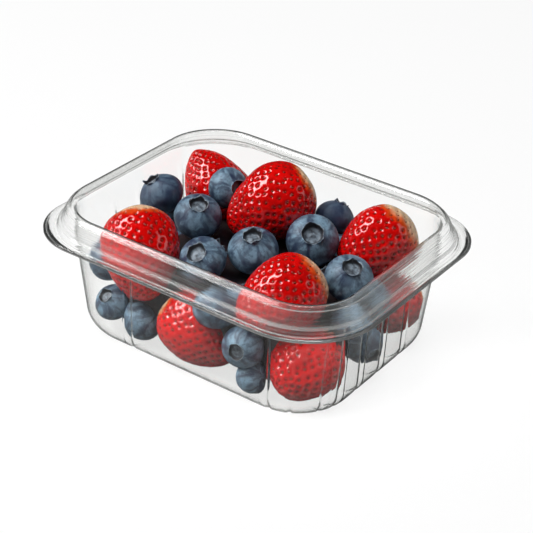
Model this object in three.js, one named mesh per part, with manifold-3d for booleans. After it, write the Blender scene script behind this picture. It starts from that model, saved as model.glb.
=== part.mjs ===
// A clear thermoformed punnet heaped with strawberries and blueberries.
// Millimetres, +Z up, the long side along X. The origin is under the middle of the floor.

import * as THREE from 'three';
import { mergeVertices } from 'three/addons/utils/BufferGeometryUtils.js';
import Module from 'manifold-3d';

// ---- driving dimensions of the punnet ----

const RIM_LENGTH = 128; // over the shoulder of the rim, along X
const RIM_WIDTH = 102; // over the shoulder of the rim, along Y
const SHEET = 0.6; // thickness of the formed sheet
const FLOOR_BEND = 8.7; // radius between floor and wall
const FLOOR_BEND_STEPS = 3;
const GROOVE_DEPTH = 0.8; // stiffening grooves run up the wall
const GROOVE_HALF = 1.8;
const LONG_GROOVES = [-26]; // place along each long side
const SHORT_GROOVES = [-14.5, 0, 14.5]; // places along the short sides
const CORNER_STEPS = 12;
const CORNER_GROOVES = [1, 4, 8, 11]; // the steps of a ribbed corner that lie in a groove

// The sheet's under face from the floor's edge, up the wall's outside, over the rim and
// down to the flange's edge: how far it lies outside the rim's shoulder, its height, its
// corner radius, and its share of a groove.
const FLOOR_EDGE = { out: -13.9, z: 0, radius: 14, groove: 0 };
const WALL_FOOT = { out: -5.2, z: FLOOR_BEND, radius: 22.7, groove: 1 };
const WALL_AND_RIM = [
  { out: -4.4, z: 36, radius: 17, groove: 1 },
  { out: -4.1, z: 43, radius: 16, groove: 0 },
  { out: -4.3, z: 50, radius: 17, groove: 0 },
  { out: -3, z: 52.6, radius: 20, groove: 0 },
  { out: -1.9, z: 53.4, radius: 22, groove: 0 },
  { out: -0.4, z: 52.4, radius: 23.6, groove: 0 },
  { out: 2.2, z: 46.8, radius: 26.2, groove: 0 },
  { out: 3.3, z: 45.8, radius: 27.3, groove: 0 },
  { out: 4, z: 44.2, radius: 28, groove: 0 },
];
const FLANGE_EDGE = { out: 6.7, z: 43.7, groove: 0 };
const FLANGE_PULL_RADIUS = 24.4; // the two corners that stand out as pull tabs
const FLANGE_PLAIN_RADIUS = 30.6; // the other two corners

// ---- driving dimensions of the fruit ----

const CLEARANCE = 0.9; // between a round berry and the sheet
const SLACK = 0.5; // how far two berries press into each other
const PLUMP = 1.05; // a faceted berry is this much wider, so that it keeps its volume
const SETTLE_ROUNDS = 160;
const BLUEBERRY_SIDES = 9;
const BLUEBERRY_BANDS = 6;
const STRAWBERRY_SIDES = 11;
const SHOULDER_BANDS = 4; // facets round a strawberry's leafy end
const TIP_BANDS = 2; // facets round its tip

// Blueberries: where each lies and how wide it is. A held one stays where the photo shows it.
const BLUEBERRIES = [
  // on the floor, from the left end to the right
  { at: [-41, -36.5, 13.5], width: 14.5, held: true },
  { at: [-42, -22.5, 11], width: 14, held: true },
  { at: [-28, -35.5, 9.5], width: 16, held: true },
  { at: [26, -36.5, 8], width: 13, held: true },
  { at: [49.5, 1.5, 12.5], width: 15, held: true },
  { at: [-49, 0, 9], width: 17 },
  { at: [-24, -12, 10], width: 17 },
  { at: [-15, 8, 10], width: 17 },
  { at: [-16, 37, 10], width: 17 },
  { at: [4, -6, 10], width: 17 },
  { at: [22, -14, 10], width: 17 },
  { at: [30, 3, 10], width: 16 },
  { at: [29, 38, 9], width: 16 },
  // half way up
  { at: [-48.5, -29, 26.5], width: 18, held: true },
  { at: [8, -36.5, 30], width: 17, held: true },
  { at: [21.5, -37, 19.5], width: 16, held: true },
  { at: [-17, -4, 27], width: 18 },
  { at: [-34, 12, 26], width: 17 },
  { at: [1, 11, 27], width: 18 },
  { at: [46, 12, 25], width: 15 },
  { at: [28, 8, 26], width: 17 },
  { at: [-50, 9, 28], width: 16 },
  { at: [-5, 38, 25], width: 16 },
  { at: [-24, 30, 24], width: 16 },
  { at: [8, -21, 24], width: 16 },
  { at: [47, -12, 25], width: 16 },
  { at: [21, 37, 26], width: 16 },
  { at: [-36, -9, 27], width: 17 },
  { at: [20, -8, 27], width: 18 },
  // on top
  { at: [-10, -21, 37], width: 18, held: true },
  { at: [2.5, -6, 39], width: 19.5, held: true },
  { at: [16, 14, 39.5], width: 20.5, held: true },
  { at: [41.5, 0.5, 38.5], width: 18.5, held: true },
  { at: [11, 37, 37.5], width: 16, held: true },
  { at: [-30, 1.5, 39], width: 19, held: true },
  { at: [-29.5, 20, 44.5], width: 16.5, held: true },
  { at: [-49, 2.5, 42], width: 18, held: true },
];

// Strawberries: where the middle lies, the size, and where the tip points, as a heading
// in plan and a lift above the level, in degrees.
const STRAWBERRIES = [
  // on the floor
  { at: [-3, -32, 13.5], length: 34, width: 25, heading: 0, lift: -20, held: true },
  { at: [42, -26.5, 14.5], length: 29, width: 27, heading: -90, lift: -25, held: true },
  { at: [45, 27, 15], length: 27, width: 22, heading: -120, lift: -20, held: true },
  { at: [-40, 28, 14], length: 31, width: 26, heading: 120, lift: 0 },
  { at: [8, 28, 14], length: 32, width: 26, heading: 10, lift: 0 },
  // on top
  { at: [-32.5, -30, 35.5], length: 37, width: 30, heading: -45, lift: -45, held: true },
  { at: [29.8, -26.4, 39], length: 35, width: 28, heading: -122, lift: -24, held: true },
  { at: [36, 28, 38.5], length: 34, width: 29, heading: -115, lift: -30, held: true },
  { at: [-8.5, 20.5, 44], length: 37, width: 30, heading: -128, lift: -26, held: true },
  { at: [-42.5, 29.5, 37], length: 34, width: 28, heading: 176, lift: 48, held: true },
];

// A strawberry is the hull of a large ball at the shoulder and a small one at the tip,
// given along its axis as shares of its length, with radii as shares of half its width.
const SHOULDER_BALL = { along: -0.08, radius: 0.98 };
const MIDDLE_BALL = { along: 0.1, radius: 0.88 };
const TIP_BALL = { along: 0.26, radius: 0.66 };

// The filling of small gaps between berries, deep in the heap: half length, half width
// and corner radius of its outline at four heights.
const CORE = [
  { halfX: 43, halfY: 30, z: 4, radius: 14 },
  { halfX: 47, halfY: 34, z: 12, radius: 16 },
  { halfX: 45, halfY: 32, z: 23, radius: 16 },
  { halfX: 32, halfY: 22, z: 30, radius: 16 },
];
const CORE_CORNER_STEPS = 4;

// ---- closed meshes from rings of points ----

function meshFromLists(positions, triangles) {
  const geometry = new THREE.BufferGeometry();
  geometry.setAttribute('position', new THREE.Float32BufferAttribute(positions, 3));
  geometry.setIndex(triangles);
  return geometry;
}

// Joins rings with the same number of points into one skin, closed over by a fan at
// each end. The rings turn anticlockwise seen from where the skin sets off to.
function loft(rings) {
  const count = rings[0].length;
  const positions = rings.flat(2);
  const triangles = [];
  for (let ring = 0; ring + 1 < rings.length; ring += 1) {
    for (let i = 0; i < count; i += 1) {
      const a = ring * count + i;
      const b = ring * count + ((i + 1) % count);
      triangles.push(a, b, b + count, a, b + count, a + count);
    }
  }
  const middleOf = (ring) => [0, 1, 2].map((axis) => {
    return ring.reduce((sum, point) => sum + point[axis], 0) / count;
  });
  const first = positions.length / 3;
  const lastRing = (rings.length - 1) * count;
  positions.push(...middleOf(rings[0]), ...middleOf(rings.at(-1)));
  for (let i = 0; i < count; i += 1) {
    const next = (i + 1) % count;
    triangles.push(first, next, i, first + 1, lastRing + i, lastRing + next);
  }
  return meshFromLists(positions, triangles);
}

// Points of one rounded corner, anticlockwise from startAngle. Those of the dented steps lie
// nearer the corner's centre by the depth.
function cornerPoints(centreX, centreY, radius, startAngle, steps, dented = [], depth = 0) {
  return Array.from({ length: steps + 1 }, (_, i) => {
    const angle = startAngle + (i / steps) * (Math.PI / 2);
    const reach = radius - (dented.includes(i) ? depth : 0);
    return [centreX + reach * Math.cos(angle), centreY + reach * Math.sin(angle)];
  });
}

// ---- the punnet ----

// Points along one straight side, three to a groove, as [along, depth].
function sidePoints(grooves, depth) {
  return grooves.flatMap((middle) => [
    [middle - GROOVE_HALF, 0],
    [middle, depth],
    [middle + GROOVE_HALF, 0],
  ]);
}

// One level ring of the sheet, anticlockwise from the end of the +X side. The two corners
// with no pull tab over them are ribbed.
function sheetRing({ out, z, radii, groove }) {
  const halfX = RIM_LENGTH / 2 + out;
  const halfY = RIM_WIDTH / 2 + out;
  const depth = GROOVE_DEPTH * groove;
  const points = [];
  for (let quarter = 0; quarter < 4; quarter += 1) {
    const signX = quarter === 0 || quarter === 3 ? 1 : -1;
    const signY = quarter < 2 ? 1 : -1;
    const radius = radii[quarter];
    const centreX = signX * (halfX - radius);
    const centreY = signY * (halfY - radius);
    const startAngle = quarter * (Math.PI / 2);
    const dented = quarter % 2 === 0 ? [] : CORNER_GROOVES;
    points.push(
      ...cornerPoints(centreX, centreY, radius, startAngle, CORNER_STEPS, dented, depth),
    );
    if (quarter % 2 === 0) {
      const side = sidePoints(LONG_GROOVES, depth);
      points.push(...side.map(([along, dip]) => [-signX * along, signY * (halfY - dip)]));
    } else {
      const side = sidePoints(SHORT_GROOVES, depth);
      points.push(...side.map(([along, dip]) => [signX * (halfX - dip), -signY * along]));
    }
  }
  return points.map(([x, y]) => [x, y, z]);
}

function bendStations() {
  const stations = [];
  for (let i = 1; i < FLOOR_BEND_STEPS; i += 1) {
    const angle = (i / FLOOR_BEND_STEPS) * (Math.PI / 2);
    const share = Math.sin(angle);
    stations.push({
      out: FLOOR_EDGE.out + FLOOR_BEND * share,
      z: FLOOR_BEND * (1 - Math.cos(angle)),
      radius: THREE.MathUtils.lerp(FLOOR_EDGE.radius, WALL_FOOT.radius, share),
      groove: share,
    });
  }
  return stations;
}

// The same station on the sheet's other face, one sheet thickness along the normal.
function otherFace(stations, index) {
  const here = stations[index];
  const before = stations[Math.max(index - 1, 0)];
  const after = stations[Math.min(index + 1, stations.length - 1)];
  const run = after.out - before.out;
  const rise = after.z - before.z;
  const size = Math.hypot(run, rise);
  const shift = (-rise / size) * SHEET;
  return {
    ...here,
    out: here.out + shift,
    z: here.z + (run / size) * SHEET,
    radii: here.radii.map((radius) => radius + shift),
  };
}

function punnetGeometry() {
  const even = (station) => ({ ...station, radii: Array(4).fill(station.radius) });
  const flangeRadii = [
    FLANGE_PULL_RADIUS, FLANGE_PLAIN_RADIUS, FLANGE_PULL_RADIUS, FLANGE_PLAIN_RADIUS,
  ];
  const under = [
    ...[FLOOR_EDGE, ...bendStations(), WALL_FOOT, ...WALL_AND_RIM].map(even),
    { ...FLANGE_EDGE, radii: flangeRadii },
  ];
  const over = under.map((_, index) => otherFace(under, index));
  return loft([...under, ...over.reverse()].map(sheetRing));
}

// ---- the fruit ----

function pointing(heading, lift) {
  const turn = THREE.MathUtils.degToRad(heading);
  const rise = THREE.MathUtils.degToRad(lift);
  return new THREE.Vector3(
    Math.cos(rise) * Math.cos(turn), Math.cos(rise) * Math.sin(turn), Math.sin(rise),
  );
}

// Every berry as a middle and the balls that stand for it while the heap settles.
function looseBerries() {
  const strawberries = STRAWBERRIES.map((berry) => {
    const axis = pointing(berry.heading, berry.lift);
    const balls = [SHOULDER_BALL, MIDDLE_BALL, TIP_BALL].map(({ along, radius }) => ({
      offset: axis.clone().multiplyScalar(along * berry.length),
      radius: radius * berry.width / 2,
    }));
    return { ...berry, axis, balls, middle: new THREE.Vector3(...berry.at) };
  });
  const blueberries = BLUEBERRIES.map((berry) => ({
    ...berry,
    balls: [{ offset: new THREE.Vector3(), radius: berry.width / 2 }],
    middle: new THREE.Vector3(...berry.at),
  }));
  return [...strawberries, ...blueberries];
}

// Moves two berries apart by their deepest overlap. A held one leaves it all to the other.
function pushApart(one, other) {
  if (one.held && other.held) return;
  const share = one.held || other.held ? 1 : 0.5;
  const push = new THREE.Vector3();
  let deepest = 0;
  for (const ball of one.balls) {
    for (const against of other.balls) {
      const gap = one.middle.clone().add(ball.offset).sub(other.middle).sub(against.offset);
      const overlap = ball.radius + against.radius - SLACK - gap.length();
      if (overlap > deepest) {
        deepest = overlap;
        push.copy(gap).setLength(overlap * share);
      }
    }
  }
  if (!one.held) one.middle.add(push);
  if (!other.held) other.middle.sub(push);
}

// Half length, half width and corner radius of the room inside the wall at height z.
function roomAt(z) {
  const up = THREE.MathUtils.clamp((z - WALL_FOOT.z) / (WALL_AND_RIM[0].z - WALL_FOOT.z), 0, 1);
  const out = THREE.MathUtils.lerp(WALL_FOOT.out, WALL_AND_RIM[0].out, up);
  const inset = GROOVE_DEPTH + SHEET + CLEARANCE;
  return {
    halfX: RIM_LENGTH / 2 + out - inset,
    halfY: RIM_WIDTH / 2 + out - inset,
    radius: THREE.MathUtils.lerp(WALL_FOOT.radius, WALL_AND_RIM[0].radius, up) - inset,
  };
}

// Moves a berry in from the walls and up from the floor.
function keepInside(berry) {
  for (const ball of berry.balls) {
    const low = SHEET + CLEARANCE + ball.radius - (berry.middle.z + ball.offset.z);
    berry.middle.z += Math.max(low, 0);
    const centre = berry.middle.clone().add(ball.offset);
    const room = roomAt(centre.z);
    const pastX = Math.abs(centre.x) - (room.halfX - room.radius);
    const pastY = Math.abs(centre.y) - (room.halfY - room.radius);
    const signX = Math.sign(centre.x);
    const signY = Math.sign(centre.y);
    if (pastX > 0 && pastY > 0) {
      const reach = Math.hypot(pastX, pastY);
      const over = Math.max(reach - (room.radius - ball.radius), 0);
      berry.middle.x -= signX * (pastX / reach) * over;
      berry.middle.y -= signY * (pastY / reach) * over;
    } else {
      berry.middle.x -= signX * Math.max(pastX - room.radius + ball.radius, 0);
      berry.middle.y -= signY * Math.max(pastY - room.radius + ball.radius, 0);
    }
  }
}

function settledBerries() {
  const berries = looseBerries();
  for (let round = 0; round < SETTLE_ROUNDS; round += 1) {
    berries.forEach((berry, index) => {
      berries.slice(0, index).forEach((other) => pushApart(berry, other));
      if (!berry.held) keepInside(berry);
    });
  }
  return berries;
}

function blueberryGeometry(berry) {
  const radius = PLUMP * berry.width / 2;
  const ball = new THREE.SphereGeometry(radius, BLUEBERRY_SIDES, BLUEBERRY_BANDS);
  ball.rotateX(Math.PI / 2);
  return ball;
}

// Outline from the leafy end to the tip, for turning round the axis.
function strawberryOutline({ length, width }) {
  const shoulder = { y: SHOULDER_BALL.along * length, radius: SHOULDER_BALL.radius * width / 2 };
  const tip = { y: TIP_BALL.along * length, radius: TIP_BALL.radius * width / 2 };
  const taper = Math.asin((shoulder.radius - tip.radius) / (tip.y - shoulder.y));
  const cone = Math.PI / 2 + taper; // angle from the leafy pole to the straight flank
  const arc = (ball, from, to, bands) => Array.from({ length: bands + 1 }, (_, i) => {
    const angle = THREE.MathUtils.lerp(from, to, i / bands);
    const x = Math.max(ball.radius * Math.sin(angle), 0);
    return new THREE.Vector2(x, ball.y - ball.radius * Math.cos(angle));
  });
  const outline = [
    ...arc(shoulder, 0, cone, SHOULDER_BANDS),
    ...arc(tip, cone, Math.PI, TIP_BANDS),
  ];
  outline[0].x = 0;
  outline.at(-1).x = 0;
  return outline;
}

function strawberryGeometry(berry) {
  const body = new THREE.LatheGeometry(strawberryOutline(berry), STRAWBERRY_SIDES);
  const turn = new THREE.Quaternion().setFromUnitVectors(new THREE.Vector3(0, 1, 0), berry.axis);
  body.applyQuaternion(turn);
  return body.scale(PLUMP, PLUMP, PLUMP);
}

// A level outline of the core, anticlockwise.
function coreRing({ halfX, halfY, z, radius }) {
  const points = [0, 1, 2, 3].flatMap((quarter) => {
    const signX = quarter === 0 || quarter === 3 ? 1 : -1;
    const signY = quarter < 2 ? 1 : -1;
    const centreX = signX * (halfX - radius);
    const centreY = signY * (halfY - radius);
    return cornerPoints(centreX, centreY, radius, quarter * (Math.PI / 2), CORE_CORNER_STEPS);
  });
  return points.map(([x, y]) => [x, y, z]);
}

// ---- joining ----

const wasm = await Module();
wasm.setup();

function solidOf(geometry) {
  const bare = geometry.clone();
  bare.deleteAttribute('normal');
  bare.deleteAttribute('uv');
  const merged = mergeVertices(bare);
  const vertProperties = new Float32Array(merged.attributes.position.array);
  const triVerts = new Uint32Array(merged.index.array);
  return new wasm.Manifold(new wasm.Mesh({ numProp: 3, vertProperties, triVerts }));
}

// Six times the volume inside a skin, negative for the skin of a closed gap.
function volumeIn(skin, vertProperties) {
  const corner = (index) => new THREE.Vector3().fromArray(vertProperties, skin[index] * 3);
  let volume = 0;
  for (let i = 0; i < skin.length; i += 3) {
    volume += corner(i).dot(corner(i + 1).cross(corner(i + 2)));
  }
  return volume;
}

// The outer skin of a joined mesh. The skins that it leaves out are those of small closed
// gaps between the berries, so those gaps are filled.
function outerSkin({ vertProperties, triVerts }) {
  const parent = Array.from({ length: vertProperties.length / 3 }, (_, i) => i);
  const rootOf = (start) => {
    let vertex = start;
    while (parent[vertex] !== vertex) {
      parent[vertex] = parent[parent[vertex]];
      vertex = parent[vertex];
    }
    return vertex;
  };
  for (let i = 0; i < triVerts.length; i += 3) {
    parent[rootOf(triVerts[i + 1])] = rootOf(triVerts[i]);
    parent[rootOf(triVerts[i + 2])] = rootOf(triVerts[i]);
  }
  const skins = new Map();
  for (let i = 0; i < triVerts.length; i += 3) {
    const root = rootOf(triVerts[i]);
    if (!skins.has(root)) skins.set(root, []);
    skins.get(root).push(triVerts[i], triVerts[i + 1], triVerts[i + 2]);
  }
  const solids = [...skins.values()].filter((skin) => volumeIn(skin, vertProperties) > 0);
  if (solids.length > 1) throw new Error(`${solids.length - 1} berries hang loose`);
  return meshFromLists(Array.from(vertProperties), solids[0]);
}

function heapGeometry() {
  let heap = solidOf(loft(CORE.map(coreRing)));
  for (const berry of settledBerries()) {
    const shape = berry.axis ? strawberryGeometry(berry) : blueberryGeometry(berry);
    heap = heap.add(solidOf(shape.translate(berry.middle.x, berry.middle.y, berry.middle.z)));
  }
  return outerSkin(heap.getMesh());
}

// ---- the object ----

const clearSheet = new THREE.MeshStandardMaterial({
  color: 0xe8eeee, roughness: 0.08, metalness: 0, transparent: true, opacity: 0.3,
});
const berrySkin = new THREE.MeshStandardMaterial({ color: 0xa8141c, roughness: 0.35, metalness: 0 });

function named(name, geometry, material) {
  const mesh = new THREE.Mesh(geometry, material);
  mesh.name = name;
  return mesh;
}

const punnetOfBerries = new THREE.Group();
punnetOfBerries.add(named('punnet_tray', punnetGeometry(), clearSheet));
punnetOfBerries.add(named('berry_heap', heapGeometry(), berrySkin));

export default punnetOfBerries;
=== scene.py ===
"""A clear punnet heaped with strawberries and blueberries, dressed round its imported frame.

Shapes are worked out in millimetres in the frame's axes, and a piece turns them into metres
when its mesh is made.
"""

import functools
import math
import random
from collections import namedtuple

import bmesh
import bpy
import numpy as np
from mathutils import Matrix, Vector, noise
from mathutils.kdtree import KDTree


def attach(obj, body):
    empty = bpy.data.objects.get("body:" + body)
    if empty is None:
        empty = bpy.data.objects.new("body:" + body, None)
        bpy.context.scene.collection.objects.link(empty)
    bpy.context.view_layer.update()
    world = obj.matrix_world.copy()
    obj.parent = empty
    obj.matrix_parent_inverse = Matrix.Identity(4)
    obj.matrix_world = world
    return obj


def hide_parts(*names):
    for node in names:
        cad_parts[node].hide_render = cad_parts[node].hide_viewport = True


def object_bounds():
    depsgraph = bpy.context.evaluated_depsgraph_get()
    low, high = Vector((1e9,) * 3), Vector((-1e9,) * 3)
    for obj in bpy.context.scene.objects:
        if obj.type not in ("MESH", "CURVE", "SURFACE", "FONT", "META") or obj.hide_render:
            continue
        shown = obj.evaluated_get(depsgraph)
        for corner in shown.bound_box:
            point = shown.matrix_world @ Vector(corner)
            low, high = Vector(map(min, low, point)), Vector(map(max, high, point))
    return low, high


bl_info = {
    "name": "Punnet of mixed berries",
    "version": (1, 0, 0),
    "blender": (4, 5, 0),
    "location": "View3D > Sidebar > Punnet",
    "description": "Builds a clear punnet heaped with strawberries and blueberries",
    "category": "Object",
}

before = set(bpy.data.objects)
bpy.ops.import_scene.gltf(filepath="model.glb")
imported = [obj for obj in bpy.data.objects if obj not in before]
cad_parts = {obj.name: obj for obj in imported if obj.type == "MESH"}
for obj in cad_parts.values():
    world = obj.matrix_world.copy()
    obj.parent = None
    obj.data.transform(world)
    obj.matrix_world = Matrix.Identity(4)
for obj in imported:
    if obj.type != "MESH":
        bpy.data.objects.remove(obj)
CAD_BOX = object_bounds()

MM = 0.001
BODY = "root"
FULL_TURN = 2 * math.pi
QUARTER_TURN = math.pi / 2
GOLDEN_ANGLE = math.pi * (3 - math.sqrt(5))
NOISE_REACH = 50  # how far out a berry's own place in the noise may lie

# ---- the tray's form ----

# The sheet's under face, from the floor over the wall and the rim to the flange's edge. The
# bend is how far before and after the corner the sheet starts and stops turning.
Station = namedtuple("Station", "out height radius tab_radius groove bend")
TRAY_PATH = (
    Station(-17.5, 0, 12.5, 12.5, 0.5, 0),
    Station(-5.2, 0, 24.5, 24.5, 1, 8.7),
    Station(-4.4, 35, 17, 17, 1, 3),
    Station(-4.1, 42, 16, 16, 0, 3),
    Station(-4.3, 50.2, 17, 17, 0, 0.9),
    Station(-3.1, 52.8, 20, 20, 0, 0.7),
    Station(-1.9, 53.35, 22, 22, 0, 0.5),
    Station(0, 51.6, 23.9, 23.9, 0, 0.5),
    Station(2.2, 46.9, 26.2, 26.2, 0, 0.35),
    Station(3.35, 45.8, 27.3, 27.3, 0, 0.35),
    Station(4.05, 44, 28, 28, 0, 0.6),
    Station(6.7, 43.7, 30.6, 24.4, 0, 0),
)
BEND_STEPS = 5
FOOT_STEPS = 10  # for the wide bend between floor and wall
ARC_WEIGHT = math.cos(math.pi / 4)
FLOOR_PANEL = ((0.86, 0), (0.82, 0.55), (0.5, 0.55), (0, 0.55))  # share of the floor's edge, height
WALL_SPAN = 12  # the tallest step up the wall
COLUMN_SPACING = 0.72  # between places round the wall
SPOKE_OUT = -4.8  # the outline at mid height that all rings are measured from
SPOKE_RADIUS = 20
SPOKE_ROUNDS = 14  # steps in which a ring finds its outline

# Stiffening grooves, by how far round each quarter of the outline they stand.
GROOVE_HALF = 1.5
GROOVE_EDGE = 2.2  # how much steeper a groove's flank is than an even slope
LONG_GROOVES = (-26, 37.5)
SHORT_GROOVES = (-14.8, -0.4, 14.8)
CORNER_GROOVES = (0.25, 0.71, 0.95)  # shares of a ribbed corner's turn

# The film on the rim, from the shoulder's top to the flange's edge: fine drawing streaks, and a milky
# veil that is partly haze and partly painted reflection.
STREAK_GAP = 0.04
STREAK_FILM = 0.03
# Painted highlights: bright lines where the sheet bends and along its whitish cut edge. Each: how far
# past the shoulder's top, half width, opacity.
RIM_HIGHLIGHT_LINES = ((2.6, 0.22, 0.3), (4.3, 0.1, 0.12), (5.9, 0.14, 0.16), (8.6, 0.75, 0.26),
             (11.6, 0.3, 0.26), (13.3, 0.12, 0.2), (14.4, 0.5, 0.3))

# ---- where the berries lie ----

CLEARANCE = 0.9  # between a settling berry and the sheet
PRESS_GAP = 0.12  # between a pressed berry's skin and the sheet
SLACK = 0.5  # overlap that two settling berries may keep
SETTLE_ROUNDS = 160
# The wall as the berries meet it, at its foot and at its top.
FOOT_HEIGHT = 8.7
FOOT_OUT = -5.2
FOOT_RADIUS = 22.7
WALL_TOP = 36
WALL_TOP_OUT = -4.4
WALL_TOP_RADIUS = 17

# A blueberry's middle, its width, and where its crown points: heading and lift in degrees.
# A held one stays where it is put, and the others settle round it. Bare is the share of its
# bloom that is rubbed off.
HELD = True
Blueberry = namedtuple("Blueberry", "at width heading lift held bare", defaults=(False, 0.15))
BLUEBERRIES = (
    # on the floor
    Blueberry((-41, -36.5, 13.5), 14.5, -100, 50, HELD),
    Blueberry((-42, -22.5, 11), 14, 20, 80, HELD),
    Blueberry((-28, -35.5, 9.5), 16, 60, 40, HELD),
    Blueberry((26, -36.5, 8), 13, 170, -30, HELD),
    Blueberry((49.5, 1.5, 12.5), 15, -23, -10, HELD, 0.4),
    Blueberry((-49, 0, 9), 17, 190, 10),
    Blueberry((-24, -12, 10), 17, 10, 60),
    Blueberry((-15, 8, 10), 17, 90, 70),
    Blueberry((-16, 37, 10), 17, 85, 10),
    Blueberry((4, -6, 10), 17, 0, 90),
    Blueberry((22, -14, 10), 17, 40, 70),
    Blueberry((30, 3, 10), 16, 0, 80),
    Blueberry((29, 38, 9), 16, 100, -20),
    # half way up
    Blueberry((-48.5, -29, 26.5), 18, 160, 20, HELD),
    Blueberry((8, -36.5, 30), 17, 120, 40, HELD),
    Blueberry((21.5, -37, 19.5), 16, -77, 14, HELD),
    Blueberry((-17, -4, 27), 18, 60, 40),
    Blueberry((-34, 12, 26), 17, 60, 60),
    Blueberry((1, 11, 27), 18, 60, 80),
    Blueberry((46, 12, 25), 15, 10, 20),
    Blueberry((28, 8, 26), 17, 60, 80),
    Blueberry((-50, 9, 28), 16, 200, -10),
    Blueberry((-5, 38, 25), 16, 95, 20),
    Blueberry((-24, 30, 24), 16, 120, 20),
    Blueberry((8, -21, 24), 16, 60, 60),
    Blueberry((47, -12, 25), 16, 60, 40),
    Blueberry((21, 37, 26), 16, 70, 0),
    Blueberry((-36, -9, 27), 17, 200, 50),
    Blueberry((20, -8, 27), 18, 120, 30),
    # on top
    Blueberry((-10, -21, 37), 18, -83, 48, HELD),
    Blueberry((2.5, -6, 39), 19.5, -71, 71, HELD),
    Blueberry((16, 14, 39.5), 20.5, -59, 47, HELD),
    Blueberry((41.5, 0.5, 38.5), 18.5, -42, 63, HELD, 0.25),
    Blueberry((11, 37, 37.5), 16, 80, 60, HELD, 0.8),
    Blueberry((-30, 1.5, 39), 19, -49, 65, HELD, 0.35),
    Blueberry((-29.5, 20, 44.5), 16.5, -15, 21, HELD),
    Blueberry((-49, 2.5, 42), 18, -140, 59, HELD, 0.65),
    # deep behind the top ones, where a gap would show the floor
    Blueberry((18, 30.5, 28), 15, 60, 50, HELD),
)

# A strawberry's middle, its length and width, where its tip points, how fast it narrows
# towards the tip, whether it still has its leaves, and how far its pale shoulder reaches
# from the leafy end, in half lengths.
Strawberry = namedtuple("Strawberry", "at length width heading lift taper leafy held pale",
                        defaults=(0.2, False, False, 0.36))
STRAWBERRIES = (
    # on the floor
    Strawberry((-3, -32, 13.5), 34, 25, 0, -20, held=HELD),
    Strawberry((42, -26.5, 14.5), 29, 27, -90, -25, held=HELD),
    Strawberry((45, 27, 15), 27, 22, -120, -20, held=HELD),
    Strawberry((-40, 28, 14), 31, 26, 120, 0),
    Strawberry((8, 28, 14), 32, 26, 10, 0, leafy=True),
    # on top
    Strawberry((-32.5, -30, 35.5), 37, 30, -45, -45, held=HELD, pale=0.5),
    Strawberry((29.8, -26.4, 39), 35, 28, -122, -24, held=HELD, pale=0.55),
    Strawberry((36, 28, 38.5), 34, 29, -115, -30, held=HELD, pale=0.85),
    Strawberry((-8.5, 20.5, 44), 37, 30, -128, -26, held=HELD),
    Strawberry((-42.5, 29.5, 37), 34, 28, 176, 48, taper=0.35, held=HELD),
)
LOW_STRAWBERRIES = 5  # the first ones, seen only through the wall

# The balls that stand for a strawberry while the heap settles: along its axis as shares of
# its length, with radii as shares of half its width.
SETTLE_BALLS = ((-0.08, 0.98), (0.1, 0.88), (0.26, 0.66))

# Painted shade: a dark body deep in the heap stands for the shadow between the berries. Its rings:
# half length, half width, height, corner radius.
CORE_RINGS = ((43, 30, 4, 14), (47, 34, 12, 16), (45, 33, 22, 16), (37, 28, 30, 16))
CORE_COLUMNS = 24
CORE_BEVEL = 2.0

# ---- the look of a strawberry ----

SHOW_CUTS = 56  # cuts across each side of the ball that a berry on top is shaped from
LOW_CUTS = 40
PLUMPNESS = 0.97  # share of the stated width
OVAL = 0.035  # how far the cross-section is from round
LUMP_HEIGHT = 0.045
LUMP_SCALE = 1.5
SEED_CELL = 8.6  # square millimetres of skin to a seed
SEED_FIELD = 0.88  # the skin's area as a share of pi times length times width
SEED_JITTER = 0.2
SEED_DRIFT = 6  # how many jitters a seed may stray along the spiral
SEED_SWING = 0.4  # and round it
SEED_REACH = (-0.93, 0.985)  # from the leafy end to the tip, in half lengths
PIT_REACH = (0.25, 1.34)  # from the pit's deepest ring to its brim
PIT_DEPTH = 0.52
SEED_SIZE = (0.3, 0.2, 0.52)
SEED_GROWTH = (0.85, 1.12)
SEED_NARROWING = 0.45
SEED_SUNK = 0.8  # share of the pit's depth
HULL_REACH = 3.2  # the shallow cut that took out the leaves
HULL_DEPTH = 2.0
HULL_EDGE = (0.75, 1.1)  # where bare flesh gives way to skin, as shares of the cut's reach
NORMAL_STEP = 0.02
NORMAL_SIDE = (0.31, 0.17, 0.93)  # any way that isn't quite a skin point's own
FORM_DRAWS = 100  # the first berry's random seed

# A leaf is laid on the shoulder from the stem outwards.
LEAF_COUNT = 10
LEAF_LENGTH = 9.5
LEAF_WIDTH = 3.4
LEAF_CELLS = (4, 8)
LEAF_START = 0.12  # radians from the stem
LEAF_CLEAR = 0.25  # nearer the stem than this, its sides run straight
LEAF_TAPER = 0.6
LEAF_STALK = 0.35
LEAF_FULLNESS = 1.25
LEAF_RISE = 0.5
LEAF_BEND = 2.5
LEAF_CUP = 0.35
LEAF_CURL = 2.2
LEAF_THICKNESS = 0.3
LEAF_DRIFT = 0.25  # how far a leaf strays from its place, as a share of the step to the next
LEAF_GROWTH = (0.75, 1.1)
CURL_GROWTH = (0.1, 1)
LEAF_DRAWS = 7

# ---- the look of a blueberry ----

BERRY_COLUMNS = 60
BERRY_ROWS = 34
FLATTENING = 0.87  # height as a share of width
CROWN_LOBES = 5
CROWN_ANGLE = math.radians(25)
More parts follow.
